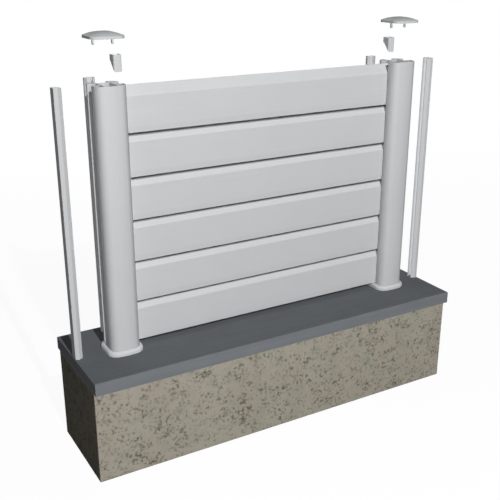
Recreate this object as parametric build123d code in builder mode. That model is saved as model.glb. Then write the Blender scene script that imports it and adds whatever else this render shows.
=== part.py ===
# One bay of a PVC board fence standing on a coped garden wall, with its caps,
# wedges and cover strips set apart from the posts that they close.
# X runs along the fence, Y from front to back, Z up; the origin is under the wall's middle.
import os

from build123d import *

# Wall and coping
wall_length = 1000.0
wall_thickness = 240.0
wall_height = 227.0
coping_overhang = 12.5
coping_thickness = 30.0
coping_edge = 1.5

# Fence line and posts
fence_setback = 2.0
post_end_inset = 114.5
post_width = 70.0
post_depth = 76.0
post_height = 608.0
post_crown = 4.0
post_corner = 17.5
post_wall = 2.5

# The slots in a post's two flanks and its back
slot_width = 26.0
slot_depth = 18.5
slot_setback = 4.0
slot_lip = 1.0

# Foot collars
collar_rim = 7.5
collar_height = 11.0
collar_shoulder = 7.0
collar_clearance = 0.3

# Seats that hold the bottom board off the coping
board_gap = 14.0
seat_clearance = 0.5

# Boards
board_pitch = 97.5
board_face = 77.5
board_thickness = 22.5
board_interlock = 2.0
board_ridge = 3.0
board_wall = 2.0
board_end_clearance = 2.0
rebate_clearance = 0.4
bevel_height = 13.0
bevel_depth = 0.8
rib_shares = (1 / 3, 2 / 3)

# Caps
cap_overhang = 2.2
cap_rim = 5.2
cap_dome = 8.3
cap_wall = 2.5
cap_lift = 93.0
dome_bend_share = 2.2
dome_shares = (1, 0.85, 0.7, 0.55, 0.4, 0.25, 0.1)
prong_spacing = 42.0
prong_width = 4.0
prong_thickness = 6.0
prong_length = 13.5
prong_tip = 1.0

# Wedges over the top board's ends
wedge_lift = 52.0
wedge_rise = 6.0
wedge_clearance = 0.5
wedge_wall = 1.5
wedge_edge = 4.0

# Cover strips
strip_clearance = 0.5
strip_face = 22.0
strip_tip = 15.0
strip_wall = 2.0
strip_edge = 1.5
strip_end_inset = 0.5
rear_strip_gap = 57.0

# One overrun for every cut
overrun = 2.0

coping_top = wall_height + coping_thickness
post_top = coping_top + post_height
board_bottom = coping_top + board_gap
board_line = fence_setback + slot_setback
chamfer_rise = board_pitch - board_face + board_interlock
board_height = board_face + chamfer_rise
board_count = int((post_height - board_gap - board_height - wedge_wall) / board_pitch) + 1
slot_floor = post_width / 2 - slot_depth
post_spacing = wall_length - 2 * post_end_inset
board_length = post_spacing - 2 * (slot_floor + board_end_clearance)
wedge_seat = board_bottom + (board_count - 1) * board_pitch + board_face
wedge_width = slot_depth - wedge_clearance
strip_depth = slot_depth - strip_clearance
strip_bulge = slot_width - 2 * strip_clearance
prong_share = prong_spacing / (post_width + 2 * cap_overhang)
prong_root = cap_rim + (cap_dome - cap_wall / 2) * (1 - prong_share**dome_bend_share)
post_places = {"left": -post_spacing / 2, "right": post_spacing / 2}
outward = {"left": -1, "right": 1}
os.makedirs("parts", exist_ok=True)


def save(builder, name):
    builder.part.label = name
    export_step(builder.part, f"parts/{name}.step")


def post_plane(side, height):
    return Plane(origin=(post_places[side], fence_setback, height))


def end_plane(start, height):
    # A plane across the boards, with its own X to the back and its own Y up.
    return Plane(origin=(start, board_line, height), x_dir=(0, 1, 0), z_dir=(1, 0, 0))


def post_outline(grown, share=1):
    # Two straight flanks with a shallow crown between them at the front and at the back,
    # grown outward and then drawn to a share of its size.
    side = post_width / 2
    crest = post_depth / 2
    shoulder = crest - post_crown
    with BuildSketch(mode=Mode.PRIVATE) as outline:
        with BuildLine():
            Line((-side, shoulder), (-side, -shoulder))
            ThreePointArc((-side, -shoulder), (0, -crest), (side, -shoulder))
            Line((side, -shoulder), (side, shoulder))
            ThreePointArc((side, shoulder), (0, crest), (-side, shoulder))
        make_face()
        fillet(outline.vertices(), radius=post_corner)
        if grown:
            offset(amount=grown, mode=Mode.REPLACE)
        if share != 1:
            scale(by=share)
    return outline.sketch


def slot_boxes(grown):
    # The three slots as rectangles that run out through the skin, widened by grown.
    reach = slot_depth + grown + overrun
    side_middle = post_width / 2 + overrun - reach / 2
    rear_middle = post_depth / 2 + overrun - reach / 2
    breadth = slot_width + 2 * grown
    with BuildSketch(mode=Mode.PRIVATE) as boxes:
        with Locations((-side_middle, slot_setback), (side_middle, slot_setback)):
            Rectangle(reach, breadth)
        with Locations((0, rear_middle)):
            Rectangle(breadth, reach)
    return boxes.sketch


def on_mouth(corner):
    # Whether a corner of the post's section is where a side slot breaks through the skin.
    at_skin = post_width / 2 - abs(corner.X) < slot_lip
    at_edge = abs(abs(corner.Y - slot_setback) - slot_width / 2) < slot_lip
    return at_skin and at_edge


def post_section():
    # The chambers are what is left inside the skin beside the slots' walls and two cross webs.
    web_middle = slot_floor - post_wall / 2
    with BuildSketch(mode=Mode.PRIVATE) as chambers:
        add(post_outline(-post_wall))
        add(slot_boxes(post_wall), mode=Mode.SUBTRACT)
        with Locations((-web_middle, 0), (web_middle, 0)):
            Rectangle(post_wall, post_depth, mode=Mode.SUBTRACT)
    with BuildSketch(mode=Mode.PRIVATE) as section:
        add(post_outline(0))
        add(chambers.sketch, mode=Mode.SUBTRACT)
        add(slot_boxes(0), mode=Mode.SUBTRACT)
        fillet(section.vertices().filter_by(on_mouth), radius=slot_lip)
    return section.sketch


def board_section():
    # Front face with a bevelled foot, a sloping top that ends in a ridge, and a rebate under
    # the back that sits on the ridge of the board below. Ribs divide the hollow inside.
    front = -board_thickness / 2
    back = board_thickness / 2
    ridge_front = back - board_ridge
    rebate_reach = (ridge_front - front) / chamfer_rise * board_interlock
    rebate_front = ridge_front - rebate_reach - rebate_clearance
    with BuildSketch(mode=Mode.PRIVATE) as outline:
        with BuildLine():
            Polyline(
                (front + bevel_depth, 0),
                (rebate_front, 0),
                (rebate_front, board_interlock),
                (back, board_interlock),
                (back, board_height),
                (ridge_front, board_height),
                (front, board_face),
                (front, bevel_height),
                close=True,
            )
        make_face()
    with BuildSketch(mode=Mode.PRIVATE) as chambers:
        add(outline.sketch)
        offset(amount=-board_wall, kind=Kind.INTERSECTION, mode=Mode.REPLACE)
        with Locations(*[(0, share * board_face) for share in rib_shares]):
            Rectangle(board_thickness, board_wall, mode=Mode.SUBTRACT)
    with BuildSketch(mode=Mode.PRIVATE) as section:
        add(outline.sketch)
        add(chambers.sketch, mode=Mode.SUBTRACT)
    return section.sketch


def cap_body(side, inset):
    # An even rim on the post's outline under a dome, drawn in by inset all round and above.
    bottom = post_top + cap_lift
    with BuildPart(mode=Mode.PRIVATE) as body:
        with BuildSketch(post_plane(side, bottom)):
            add(post_outline(cap_overhang - inset))
        extrude(amount=cap_rim)
        for share in dome_shares:
            rise = (cap_dome - inset) * (1 - share**dome_bend_share)
            with BuildSketch(post_plane(side, bottom + cap_rim + rise)):
                add(post_outline(cap_overhang - inset, share))
        loft()
    return body.part


def wedge_body(side, height, inset):
    # Upright front with round edges, flat top, and an underside that fits the sloping top
    # of a board, drawn in by inset all round.
    front = -board_thickness / 2
    back = board_thickness / 2
    inward = -outward[side]
    start = post_places[side] + inward * (slot_floor + wedge_clearance + inset)
    with BuildSketch(mode=Mode.PRIVATE) as outline:
        with BuildLine():
            Polyline(
                (front, 0),
                (back - board_ridge, chamfer_rise),
                (back, chamfer_rise),
                (back, height),
                (front, height),
                close=True,
            )
        make_face()
        if inset:
            offset(amount=-inset, kind=Kind.INTERSECTION, mode=Mode.REPLACE)
    with BuildPart(mode=Mode.PRIVATE) as body:
        with BuildSketch(end_plane(start, wedge_seat + wedge_lift)):
            add(outline.sketch)
        extrude(amount=inward * (wedge_width - 2 * inset))
        fillet(body.edges().filter_by(Axis.Z).group_by(Axis.Y)[0], radius=wedge_edge - inset)
    return body.part


def strip_section():
    # A channel with a flat face and two sides that swell to the slot's width, then draw in.
    middle = strip_depth / 2
    face = strip_face / 2
    bulge = strip_bulge / 2
    tip = strip_tip / 2
    mouth = strip_depth + overrun
    mouth_half = tip - strip_wall - (bulge - tip) * overrun / middle
    with BuildSketch(mode=Mode.PRIVATE) as section:
        with BuildLine():
            Polyline(
                (0, -face),
                (middle, -bulge),
                (strip_depth, -tip),
                (strip_depth, tip),
                (middle, bulge),
                (0, face),
                close=True,
            )
        make_face()
        fillet(section.vertices(), radius=strip_edge)
        with BuildLine():
            Polyline(
                (strip_wall, strip_wall - face),
                (middle, strip_wall - bulge),
                (mouth, -mouth_half),
                (mouth, mouth_half),
                (middle, bulge - strip_wall),
                (strip_wall, face - strip_wall),
                close=True,
            )
        make_face(mode=Mode.SUBTRACT)
    return section.sketch


# Masonry wall
with BuildPart() as wall:
    with Locations((0, 0, wall_height / 2)):
        Box(wall_length, wall_thickness, wall_height)
save(wall, "masonry_wall")

# Coping slab
with BuildPart() as coping:
    with Locations((0, 0, wall_height + coping_thickness / 2)):
        Box(wall_length, wall_thickness + 2 * coping_overhang, coping_thickness)
    chamfer(coping.faces().sort_by(Axis.Z)[-1].edges(), length=coping_edge)
save(coping, "coping_slab")

# Posts
for side in post_places:
    with BuildPart() as post:
        with BuildSketch(post_plane(side, coping_top)):
            add(post_section())
        extrude(amount=post_height)
    save(post, f"{side}_post")

# Foot collars, with a round shoulder
for side in post_places:
    with BuildPart() as collar:
        with BuildSketch(post_plane(side, coping_top)):
            add(post_outline(collar_rim))
        extrude(amount=collar_height)
        fillet(collar.faces().sort_by(Axis.Z)[-1].edges(), radius=collar_shoulder)
        with BuildSketch(post_plane(side, coping_top)):
            add(post_outline(collar_clearance))
        extrude(amount=collar_height, mode=Mode.SUBTRACT)
    save(collar, f"{side}_foot_collar")

# Seats in the posts' inner slots, under the bottom board's ends
for side in post_places:
    seat_middle = post_places[side] - outward[side] * (slot_floor + slot_depth / 2)
    with BuildPart() as seat:
        with BuildSketch(Plane(origin=(seat_middle, board_line, coping_top))):
            Rectangle(slot_depth - 2 * seat_clearance, slot_width - 2 * seat_clearance)
        extrude(amount=board_gap)
    save(seat, f"{side}_board_seat")

# Boards, from the bottom up
for number in range(1, board_count + 1):
    with BuildPart() as board:
        with BuildSketch(end_plane(-board_length / 2, board_bottom + (number - 1) * board_pitch)):
            add(board_section())
        extrude(amount=board_length)
    save(board, f"board_{number}")

# Caps, raised over the posts, with two prongs that enter the side slots
for side in post_places:
    with BuildPart() as cap:
        add(cap_body(side, 0))
        add(cap_body(side, cap_wall), mode=Mode.SUBTRACT)
        with BuildSketch(post_plane(side, post_top + cap_lift - prong_length)):
            with Locations((-prong_spacing / 2, slot_setback), (prong_spacing / 2, slot_setback)):
                Rectangle(prong_width, prong_thickness)
        extrude(amount=prong_length + prong_root)
        chamfer(cap.faces().sort_by(Axis.Z)[0:2].edges(), length=prong_tip)
    save(cap, f"{side}_cap")

# Wedges, raised over the top board's ends, hollow and open at the top
for side in post_places:
    wedge_height = post_top + wedge_rise - wedge_seat
    with BuildPart() as wedge:
        add(wedge_body(side, wedge_height, 0))
        add(wedge_body(side, wedge_height + wedge_wall + overrun, wedge_wall), mode=Mode.SUBTRACT)
    save(wedge, f"{side}_wedge")

# Cover strips at the wall's two ends, standing on the coping
for side in post_places:
    strip_plane = Plane(
        origin=(outward[side] * (wall_length / 2 - strip_end_inset), board_line, coping_top),
        x_dir=(-outward[side], 0, 0),
        z_dir=(0, 0, 1),
    )
    with BuildPart() as strip:
        with BuildSketch(strip_plane):
            add(strip_section())
        extrude(amount=post_height)
    save(strip, f"{side}_cover_strip")

# Cover strips behind the posts
for side in post_places:
    strip_back = fence_setback + post_depth / 2 + rear_strip_gap + strip_depth
    rear_plane = Plane(
        origin=(post_places[side], strip_back, coping_top),
        x_dir=(0, -1, 0),
        z_dir=(0, 0, 1),
    )
    with BuildPart() as rear_strip:
        with BuildSketch(rear_plane):
            add(strip_section())
        extrude(amount=post_height)
    save(rear_strip, f"{side}_rear_strip")
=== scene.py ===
import math

import bmesh
import bpy
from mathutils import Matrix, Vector, noise


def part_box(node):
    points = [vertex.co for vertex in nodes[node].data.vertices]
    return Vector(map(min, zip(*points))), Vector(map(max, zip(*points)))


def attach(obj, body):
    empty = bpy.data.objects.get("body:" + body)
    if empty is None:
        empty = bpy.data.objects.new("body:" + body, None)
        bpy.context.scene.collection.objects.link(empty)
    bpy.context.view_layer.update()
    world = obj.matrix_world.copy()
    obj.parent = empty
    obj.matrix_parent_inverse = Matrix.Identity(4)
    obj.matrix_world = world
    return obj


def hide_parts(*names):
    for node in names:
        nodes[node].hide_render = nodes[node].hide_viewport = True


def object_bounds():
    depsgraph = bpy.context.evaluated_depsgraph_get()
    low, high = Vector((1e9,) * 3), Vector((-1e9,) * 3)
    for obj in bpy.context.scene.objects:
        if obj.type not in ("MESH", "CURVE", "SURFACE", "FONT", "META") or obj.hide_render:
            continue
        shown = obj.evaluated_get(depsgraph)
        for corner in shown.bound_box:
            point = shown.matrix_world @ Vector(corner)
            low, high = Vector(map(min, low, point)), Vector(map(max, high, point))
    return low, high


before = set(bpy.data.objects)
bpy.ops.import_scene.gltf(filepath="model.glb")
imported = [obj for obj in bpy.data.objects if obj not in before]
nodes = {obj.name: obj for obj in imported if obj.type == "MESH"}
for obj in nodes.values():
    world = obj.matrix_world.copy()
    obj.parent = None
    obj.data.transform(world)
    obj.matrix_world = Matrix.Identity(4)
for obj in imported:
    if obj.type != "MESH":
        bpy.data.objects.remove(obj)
cadBox = [list(corner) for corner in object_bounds()]
scene = bpy.context.scene
print("frame loaded with", len(nodes), "pieces")


# A value in a node tree; sums, differences and products of values add Math nodes
class Wire:
    def __init__(self, paint, socket):
        self.paint = paint
        self.socket = socket

    def join(self, operation, first, second):
        return self.paint.node("ShaderNodeMath", {"operation": operation}, {0: first, 1: second})

    def __add__(self, other):
        return self.join("ADD", self, other)

    def __radd__(self, other):
        return self.join("ADD", other, self)

    def __sub__(self, other):
        return self.join("SUBTRACT", self, other)

    def __rsub__(self, other):
        return self.join("SUBTRACT", other, self)

    def __mul__(self, other):
        return self.join("MULTIPLY", self, other)

    def __rmul__(self, other):
        return self.join("MULTIPLY", other, self)

    def __abs__(self):
        return self.paint.node("ShaderNodeMath", {"operation": "ABSOLUTE"}, {0: self})


# The node tree of a material, a lamp or the world; node() adds any node, settings first and then sockets
class Paint:
    def __init__(self, owner):
        owner.use_nodes = True
        self.owner = owner
        self.tree = owner.node_tree
        self.tree.nodes.clear()

    def node(self, kind, settings=None, sockets=None, output=0):
        made = self.tree.nodes.new(kind)
        for key, value in (settings or {}).items():
            if key == "stops":
                self.fillRamp(made.color_ramp, value)
            else:
                setattr(made, key, value)
        for key, value in (sockets or {}).items():
            if isinstance(value, Wire):
                self.tree.links.new(value.socket, made.inputs[key])
            else:
                made.inputs[key].default_value = value
        return Wire(self, made.outputs[output]) if made.outputs else None

    def fillRamp(self, ramp, stops):
        while len(ramp.elements) < len(stops):
            ramp.elements.new(1.0)
        for element, (place, shade) in zip(ramp.elements, stops):
            element.position = place
            element.color = (shade, shade, shade, 1.0)

    def spot(self):
        return self.node("ShaderNodeTexCoord", output=3)

    def stretched(self, stretch):
        return self.node("ShaderNodeVectorMath", {"operation": "MULTIPLY"}, {0: self.spot(), 1: stretch})

    def cloud(self, where, scale, detail=2.0, rough=0.5):
        sockets = {"Vector": where, "Scale": scale, "Detail": detail, "Roughness": rough}
        return self.node("ShaderNodeTexNoise", {}, sockets)

    def ramp(self, value, *stops):
        return self.node("ShaderNodeValToRGB", {"stops": stops}, {"Fac": value})

    def blend(self, share, first, second):
        return self.node("ShaderNodeMix", {"data_type": "RGBA"}, {0: share, 6: first, 7: second}, output=2)

    def shaded(self, tone, factor):
        grey = self.node("ShaderNodeCombineColor", {}, {0: factor, 1: factor, 2: factor})
        sockets = {0: 1.0, 6: tone, 7: grey}
        return self.node("ShaderNodeMix", {"data_type": "RGBA", "blend_type": "MULTIPLY"}, sockets, output=2)

    def part(self, vector, axis):
        return self.node("ShaderNodeSeparateXYZ", {}, {0: vector}, output=axis)

    # How squarely the surface faces along an axis, from -1 to 1
    def facing(self, axis):
        return self.part(self.node("ShaderNodeNewGeometry", output=1), axis)

    # 1 on the edges of a box piece, falling to 0 within the given width
    def edges(self, low, high, width):
        close = []
        for axis in range(3):
            middle, half = (low[axis] + high[axis]) / 2, (high[axis] - low[axis]) / 2
            away = abs(self.part(self.spot(), axis) - middle) * (1 / half)
            close.append(self.ramp(away, (1 - width / half, 0.0), (1.0, 1.0)))
        return close[0] * close[1] + close[1] * close[2] + close[0] * close[2]

    def bump(self, height, strength, depth):
        return self.node("ShaderNodeBump", {}, {"Height": height, "Strength": strength, "Distance": depth})

    # 1 for what the camera sees, straight or in a gloss or through glass
    def seen(self):
        rays = [self.node("ShaderNodeLightPath", output=name) for name in ("Is Camera Ray", "Is Glossy Ray")]
        through = self.node("ShaderNodeLightPath", output="Is Transmission Ray")
        either = rays[0] + rays[1] + through
        return self.node("ShaderNodeClamp", {}, {0: either})

    def surface(self, **sockets):
        words = {key.replace("_", " "): value for key, value in sockets.items()}
        shader = self.node("ShaderNodeBsdfPrincipled", {}, words)
        self.node("ShaderNodeOutputMaterial", {}, {"Surface": shader})
        return self.owner


# Extruded and moulded PVC, pale grey
pvc = {
    "pale": (0.566, 0.576, 0.586, 1.0),
    "deep": (0.540, 0.550, 0.560, 1.0),
    "gloss": (0.30, 0.40),  # least and most roughness
    "satin": (0.46, 0.56),  # and on the posts, which have a soft sheen
    "postSheen": 0.1,
    "boardShine": 0.2,
    "drawnLines": 420.0,  # fine lines of the die, per metre across the draw
    "mottle": 9.0,
    "grain": 1400.0,
    "shadeLeft": 0.50,  # what is left of the colour under the painted shade in joints, slots, channels and on domes
    "jointShadeBand": 0.0085,
    "creviceShadeReach": 0.03,  # painted shade darkens where other walls stand this close
    "shadeInSlots": 1.0,
    "shadeInChannels": 0.27,
    "shadeOnDomes": 0.58,
    "along": (0.01, 1.0, 1.0),  # how the die lines are stretched, least along the draw
    "up": (1.0, 1.0, 0.01),
    "even": (1.0, 1.0, 1.0),
    "relief": 0.00005,  # depth of the die lines and the grain, in metres
    "crown": 3.5,  # fall of the swell on a post's faces, over the square of the distance from the middle
}


# Painted shade: 1 at the top of each board's slope, where the next board stands over it and shades it, and
# along the seams behind
def jointShade(paint):
    low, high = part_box("board_1")
    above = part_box("board_2")[0][2]
    pitch = above - low[2]
    course = (paint.part(paint.spot(), 2) - low[2]) * (1 / pitch)
    level = paint.node("ShaderNodeMath", {"operation": "FRACT"}, {0: course})
    start = 1 - pvc["jointShadeBand"] / pitch
    depth = (paint.part(paint.spot(), 1) - low[1]) * (1 / (high[1] - low[1]))
    behind = paint.ramp(depth, (0.9, 0.0), (0.95, 1.0))
    slope = paint.ramp(level, (start - 0.012, 0.0), (start, 1.0))
    seam = paint.ramp(abs(level - (high[2] - above) / pitch), (0.005, 1.0), (0.016, 0.0))
    return slope * (1.0 - behind) + seam * behind


# Painted shade from occlusion, growing to its most deep in a slot or a chamber; own counts only the piece's
# own walls
def creviceShade(paint, own, most):
    settings = {"samples": 8, "only_local": own}
    clear = paint.node("ShaderNodeAmbientOcclusion", settings, {"Distance": pvc["creviceShadeReach"]}, output=1)
    return paint.ramp(clear, (0.25, most), (0.85, 0.0))


def slotShade(paint):
    return creviceShade(paint, False, pvc["shadeInSlots"])


def channelShade(paint):
    return creviceShade(paint, True, pvc["shadeInChannels"])


# Painted shade, growing to its most where a cap's dome lies level
def domeShade(paint):
    return paint.ramp(paint.facing(2), (0.86, 0.0), (0.99, pvc["shadeOnDomes"]))


# Height of a shallow swell over the front and the back of the posts
def postCrown(paint):
    low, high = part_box("right_post")
    off = abs(paint.part(paint.spot(), 0)) - (low[0] + high[0]) / 2
    return off * off * -pvc["crown"]


def pvcPaint(name, drawn, paintedShade=None, shine=0.0, sheen=0.0, swell=None):
    paint = Paint(bpy.data.materials.new(name))
    lines = paint.cloud(paint.stretched(drawn), pvc["drawnLines"], 3.0, 0.6)
    mottle = paint.cloud(paint.spot(), pvc["mottle"], 3.0, 0.55)
    grain = paint.cloud(paint.spot(), pvc["grain"], 1.0)
    share = paint.ramp(lines * 0.55 + mottle * 0.45, (0.34, 0.0), (0.66, 1.0))
    tone = paint.blend(share, pvc["deep"], pvc["pale"])
    # Painted shade: the colour darkens where the mask is 1
    if paintedShade:
        tone = paint.shaded(tone, 1.0 - (1.0 - pvc["shadeLeft"]) * paintedShade(paint))
    low, high = pvc["satin"] if sheen else pvc["gloss"]
    rough = low + (high - low) * (mottle * 0.6 + lines * 0.4)
    relief = (lines * 0.7 + grain * 0.3) * pvc["relief"]
    if swell:
        relief = relief + swell(paint)
    height = paint.bump(relief, 1.0, 1.0)
    return paint.surface(
        Base_Color=tone, Roughness=rough, Metallic=sheen, Normal=height, Specular_IOR_Level=shine
    )


# Cast coping, streaked along its length
coping = {
    "pale": (0.208, 0.222, 0.236, 1.0),
    "deep": (0.176, 0.189, 0.202, 1.0),
    "worn": (0.215, 0.226, 0.236, 1.0),
    "topShade": 0.61,  # painted shade: the top is darker than the sides
    "edgeWidth": 0.0025,
    "streak": 95.0,
    "streakStretch": (0.035, 1.0, 1.0),
    "cloud": 16.0,
    "grain": 900.0,
    "bump": (0.25, 0.0006),  # strength, and depth in metres
}


def copingPaint():
    paint = Paint(bpy.data.materials.new("copingStone"))
    low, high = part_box("coping_slab")
    streak = paint.cloud(paint.stretched(coping["streakStretch"]), coping["streak"], 4.0, 0.6)
    cloud = paint.cloud(paint.spot(), coping["cloud"], 4.0, 0.6)
    grain = paint.cloud(paint.spot(), coping["grain"], 2.0, 0.7)
    share = paint.ramp(streak * 0.5 + cloud * 0.3 + grain * 0.2, (0.36, 0.0), (0.64, 1.0))
    tone = paint.blend(share, coping["deep"], coping["pale"])
    rubbed = paint.edges(low, high, coping["edgeWidth"]) * paint.ramp(cloud, (0.42, 0.1), (0.62, 0.8))
    tone = paint.blend(rubbed, tone, coping["worn"])
    # Painted shade: darker where the surface faces up
    tone = paint.shaded(tone, paint.ramp(paint.facing(2), (0.35, 1.0), (0.9, coping["topShade"])))
    rough = 0.62 + 0.16 * grain
    height = paint.bump(grain * 0.6 + streak * 0.4, *coping["bump"])
    return paint.surface(Base_Color=tone, Roughness=rough, Normal=height, Specular_IOR_Level=0.0)


# Rendered wall: beige ground, pinkish and greenish patches, clustered dark specks
wall = {
    "ground": (0.392, 0.362, 0.300, 1.0),
    "pinkish": (0.378, 0.338, 0.284, 1.0),
    "greenish": (0.332, 0.322, 0.262, 1.0),
    "speck": (0.070, 0.072, 0.056, 1.0),
    "worn": (0.390, 0.360, 0.300, 1.0),
    "endShade": 0.52,  # painted shade: the wall's two ends are darker
    "edgeWidth": 0.008,
    "speckScale": 140.0,
    "clusterScale": 36.0,
    "patchScale": 13.0,
    "mossScale": 27.3,
    "mossStretch": (1.0, 1.0, 1.3),
    "grain": 700.0,
    "bump": (0.3, 0.0006),
    "cell": 0.005,  # side of the skin's mesh, then its round edge, chips and relief, in metres
    "edge": 0.0022,
    "chip": 0.0010,
    "relief": 0.00035,
    "chipNoise": 60.0,
    "reliefNoise": (95.0, 31.0),  # fine and coarse
}


def wallPaint():
    paint = Paint(bpy.data.materials.new("wallRender"))
    low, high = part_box("masonry_wall")
    spot = paint.spot()
    patch = paint.cloud(spot, wall["patchScale"], 3.0, 0.55)
    moss = paint.cloud(paint.stretched(wall["mossStretch"]), wall["mossScale"], 3.0, 0.6)
    tone = paint.blend(paint.ramp(patch, (0.44, 0.0), (0.60, 1.0)), wall["ground"], wall["pinkish"])
    tone = paint.blend(paint.ramp(moss, (0.48, 0.0), (0.66, 0.85)), tone, wall["greenish"])
    fleck = paint.cloud(spot, wall["speckScale"], 3.0, 0.65)
    cluster = paint.cloud(spot, wall["clusterScale"], 3.0, 0.6)
    specks = paint.ramp(fleck * 0.65 + cluster * 0.35, (0.51, 0.0), (0.64, 1.0))
    tone = paint.blend(specks * 0.8, tone, wall["speck"])
    rubbed = paint.edges(low, high, wall["edgeWidth"]) * paint.ramp(patch, (0.40, 0.15), (0.60, 0.6))
    tone = paint.blend(rubbed, tone, wall["worn"])
    grain = paint.cloud(spot, wall["grain"], 2.0, 0.7)
    tone = paint.shaded(tone, 0.90 + 0.20 * grain)
    # Painted shade: darker on the wall's two ends
    tone = paint.shaded(tone, paint.ramp(abs(paint.facing(0)), (0.5, 1.0), (0.9, wall["endShade"])))
    rough = 0.86 + 0.10 * grain - 0.12 * specks
    height = paint.bump(grain * 0.5 + fleck * 0.3 - specks * 0.4, *wall["bump"])
    return paint.surface(Base_Color=tone, Roughness=rough, Normal=height, Specular_IOR_Level=0.0)


# Places of the skin's mesh lines along one side, closer together at the round edges
def stations(low, high):
    edge = wall["edge"]
    inner = high - low - 2 * edge
    count = max(2, round(inner / wall["cell"]))
    middle = [low + edge + inner * step / count for step in range(count + 1)]
    return [low, low + edge * 0.4, *middle, high - edge * 0.4, high]


# Where a point of the plain block comes to lie once its edges are worn and its faces rough
def worn(place, low, high):
    edge = wall["edge"] + wall["chip"] * max(0.0, noise.noise(place * wall["chipNoise"]))
    core = Vector([min(max(place[axis], low[axis] + edge), high[axis] - edge) for axis in range(3)])
    out = place - core
    if out.length < 1e-7:
        return place
    out.normalize()
    fine, coarse = wall["reliefNoise"]
    rough = noise.noise(place * fine) * 0.6 + noise.noise(place * coarse) * 0.4
    sink = wall["relief"] * (1.0 + rough) * (1.0 - abs(out.z))
    return core + out * (edge - sink)


def buildWall():
    low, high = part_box("masonry_wall")
    lines = [stations(low[axis], high[axis]) for axis in range(3)]
    skin = bmesh.new()
    corners = {}

    def corner(index):
        if index not in corners:
            place = Vector([lines[axis][index[axis]] for axis in range(3)])
            corners[index] = skin.verts.new(worn(place, low, high))
        return corners[index]

    for axis in range(3):
        across, along = (axis + 1) % 3, (axis + 2) % 3
        for end in (0, len(lines[axis]) - 1):
            for u in range(len(lines[across]) - 1):
                for v in range(len(lines[along]) - 1):
                    ring = []
                    for du, dv in ((0, 0), (1, 0), (1, 1), (0, 1)):
                        index = [0, 0, 0]
                        index[axis], index[across], index[along] = end, u + du, v + dv
                        ring.append(corner(tuple(index)))
                    face = skin.faces.new(ring if end else ring[::-1])
                    face.smooth = True
    mesh = bpy.data.meshes.new("renderedWall")
    skin.to_mesh(mesh)
    skin.free()
    piece = bpy.data.objects.new("renderedWall", mesh)
    scene.collection.objects.link(piece)
    mesh.materials.append(wallPaint())
    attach(piece, "root")
    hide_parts("masonry_wall")
    print("wall skin has", len(mesh.polygons), "faces")


buildWall()

drawnAlong = pvcPaint("pvcDrawnAlong", pvc["along"], None, pvc["boardShine"])
drawnJointShaded = pvcPaint("pvcDrawnJointShaded", pvc["along"], jointShade, pvc["boardShine"])
drawnUp = pvcPaint("pvcDrawnUp", pvc["up"], slotShade, 0.0, pvc["postSheen"], postCrown)
drawnThin = pvcPaint("pvcDrawnThin", pvc["up"], channelShade)
moulded = pvcPaint("pvcMoulded", pvc["even"])
mouldedCap = pvcPaint("pvcMouldedCap", pvc["even"], domeShade)
stone = copingPaint()


def dress(node, material):
    node.data.materials.clear()
    node.data.materials.append(material)


topBoard = max(name for name in nodes if name.startswith("board_"))
# Pieces that shade none of the others: what hangs over them, and the strips open to the light
shadeless = ("_cap", "_wedge", "coping_slab", "right_cover_strip", "right_rear_strip")
for name, node in nodes.items():
    node.visible_shadow = not name.endswith(shadeless)
    if name.startswith("board_"):
        dress(node, drawnAlong if name == topBoard else drawnJointShaded)
    elif name.endswith("_post"):
        dress(node, drawnUp)
    elif name.endswith("_cap"):
        dress(node, mouldedCap)
    elif name.endswith("_strip"):
        dress(node, drawnThin)
    elif name in ("coping_slab", "masonry_wall"):
        dress(node, stone)
    else:
        dress(node, moulded)
print("materials set")

# Camera, as the bay was seen; focalShare is the focal length over the frame's width
view = {
    "place": (-0.9684, -1.6046, 1.1204),
    "yaw": 0.5233,
    "pitch": 0.3538,
    "focalShare": 1.6123,
    "clipEnd": 500.0,
}


def addCamera():
    camera = bpy.data.objects.new("camera", bpy.data.cameras.new("camera"))
    camera.location = view["place"]
    camera.rotation_euler = (math.pi / 2 - view["pitch"], 0.0, -view["yaw"])
    camera.data.lens = camera.data.sensor_width * view["focalShare"]
    camera.data.clip_end = view["clipEnd"]
    scene.collection.objects.link(camera)
    scene.camera = camera


addCamera()

# A lamp above the camera, a weak one at the left, one for the back, and a white room with a soft wash
# from behind; level 1 shows a colour about as written
light = {
    "key": (0.965, (-0.7, -3.5, 3.0)),  # level at the bay's middle, and place
    "fill": (0.15, (-2.6, -2.6, 1.4)),
    "rear": (0.75, (1.6, 4.0, 0.35)),
    "lampRadius": 0.04,
    "wash": 4.4,
    "washFrom": (0.50, 0.866, 0.0),
    "washPower": 14.0,
    "ambient": 0.015,
    "floorBounce": 0.05,
    "floorWhite": (0.94, 1.0),  # share of plain white in the floor, near the piece and far off
    "floorReach": 4.0,  # how far off that is, in metres
    "floorHalf": 90.0,
    "floorDrop": 0.0005,
}


def addLamp(name, castsShadow):
    level, place = light[name]
    lamp = bpy.data.objects.new(name, bpy.data.lights.new(name, "POINT"))
    lamp.location = place
    middle = (Vector(cadBox[0]) + Vector(cadBox[1])) / 2
    lamp.data.energy = level * 4 * math.pi**2 * (lamp.location - middle).length_squared
    lamp.data.shadow_soft_size = light["lampRadius"]
    lamp.data.use_shadow = castsShadow
    scene.collection.objects.link(lamp)


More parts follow.
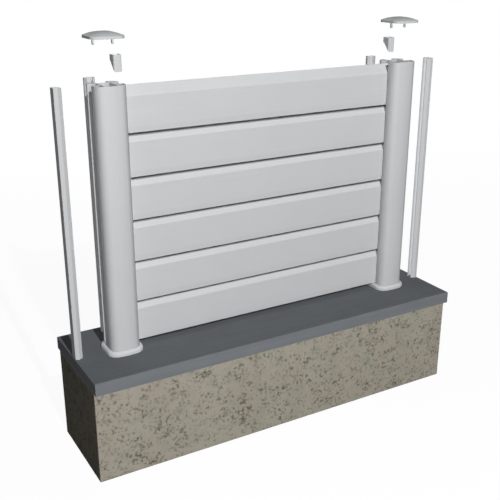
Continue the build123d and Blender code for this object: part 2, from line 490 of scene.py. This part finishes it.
def addRoom():
    plainWhite = (1.0, 1.0, 1.0, 1.0)
    scene.world = bpy.data.worlds.new("whiteRoom")
    paint = Paint(scene.world)
    toward = paint.node("ShaderNodeTexCoord", output=0)
    sockets = {0: toward, 1: light["washFrom"]}
    near = paint.node("ShaderNodeVectorMath", {"operation": "DOT_PRODUCT"}, sockets, output=1)
    near = paint.node("ShaderNodeClamp", {}, {0: near})
    lobe = paint.node("ShaderNodeMath", {"operation": "POWER"}, {0: near, 1: light["washPower"]})
    level = light["ambient"] + light["wash"] * lobe
    dim = paint.node("ShaderNodeBackground", {}, {"Color": plainWhite, "Strength": level})
    white = paint.node("ShaderNodeBackground", {}, {"Color": plainWhite, "Strength": 1.0})
    both = paint.node("ShaderNodeMixShader", {}, {0: paint.seen(), 1: dim, 2: white})
    paint.node("ShaderNodeOutputWorld", {}, {"Surface": both})
    half = light["floorHalf"]
    mesh = bpy.data.meshes.new("floor")
    corners = [(-half, -half, 0), (half, -half, 0), (half, half, 0), (-half, half, 0)]
    mesh.from_pydata(corners, [], [(0, 1, 2, 3)])
    floor = bpy.data.objects.new("floor", mesh)
    floor.location.z = -light["floorDrop"]
    scene.collection.objects.link(floor)
    paint = Paint(bpy.data.materials.new("paleFloor"))
    seen = paint.seen()
    bounce = light["floorBounce"]
    tone = paint.blend(seen, (bounce, bounce, bounce, 1.0), plainWhite)
    matt = paint.node("ShaderNodeBsdfDiffuse", {}, {"Color": tone})
    glow = paint.node("ShaderNodeEmission", {}, {"Color": plainWhite, "Strength": 1.0})
    away = paint.node("ShaderNodeVectorMath", {"operation": "LENGTH"}, {0: paint.spot()}, output=1)
    near, far = light["floorWhite"]
    whiteShare = paint.ramp(away * (1 / light["floorReach"]), (0.25, near), (1.0, far))
    both = paint.node("ShaderNodeMixShader", {}, {0: seen * whiteShare, 1: matt, 2: glow})
    paint.node("ShaderNodeOutputMaterial", {}, {"Surface": both})
    mesh.materials.append(paint.owner)


addLamp("key", True)
addLamp("fill", False)
addLamp("rear", False)
addRoom()
scene.view_settings.view_transform = "Standard"
print("lamps, floor and camera set")
